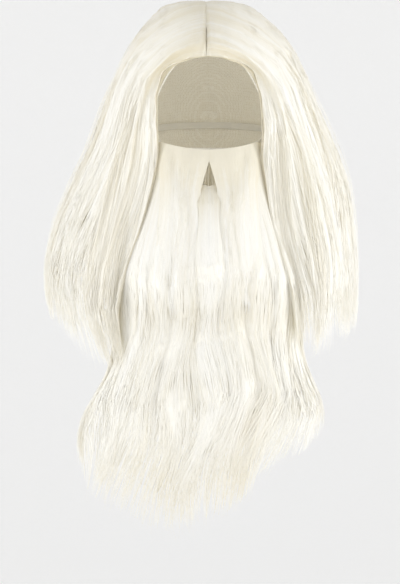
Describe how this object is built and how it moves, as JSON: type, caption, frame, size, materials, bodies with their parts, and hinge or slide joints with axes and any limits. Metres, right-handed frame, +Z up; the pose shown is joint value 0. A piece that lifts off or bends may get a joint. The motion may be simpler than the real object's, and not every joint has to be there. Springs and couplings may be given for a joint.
{
  "type": "santa wig with beard",
  "caption": "Long straight white wig with a centre parting on a net cap, and a long full beard with moustache and mouth opening, held by an elastic inside the cap.",
  "frame": {"origin": "inside of the cap at the crown, where the top of the head touches it", "axes": "+Z up, -Y towards the front of the face, +X towards the right of someone who looks at the front"},
  "size_m": [0.3743, 0.2869, 0.6085],
  "materials": {
    "wig_hair": "straight synthetic hair with a soft sheen",
    "beard_hair": "straight synthetic hair with a soft sheen",
    "cap_net": "matt stretch net with sewn rows of hair",
    "seam_cloth": "matt woven strip",
    "backing_cloth": "matt woven cloth",
    "elastic_band": "matt ribbed elastic"
  },
  "bodies": {
    "root": {"wig_cap": "cap_net", "parting_seam": "seam_cloth", "hair_left": "wig_hair", "hair_right": "wig_hair", "hair_back": "wig_hair", "beard_backing": "backing_cloth", "beard_hair": "beard_hair", "moustache_left": "beard_hair", "moustache_right": "beard_hair", "beard_elastic": "elastic_band"}
  },
  "joints": []
}
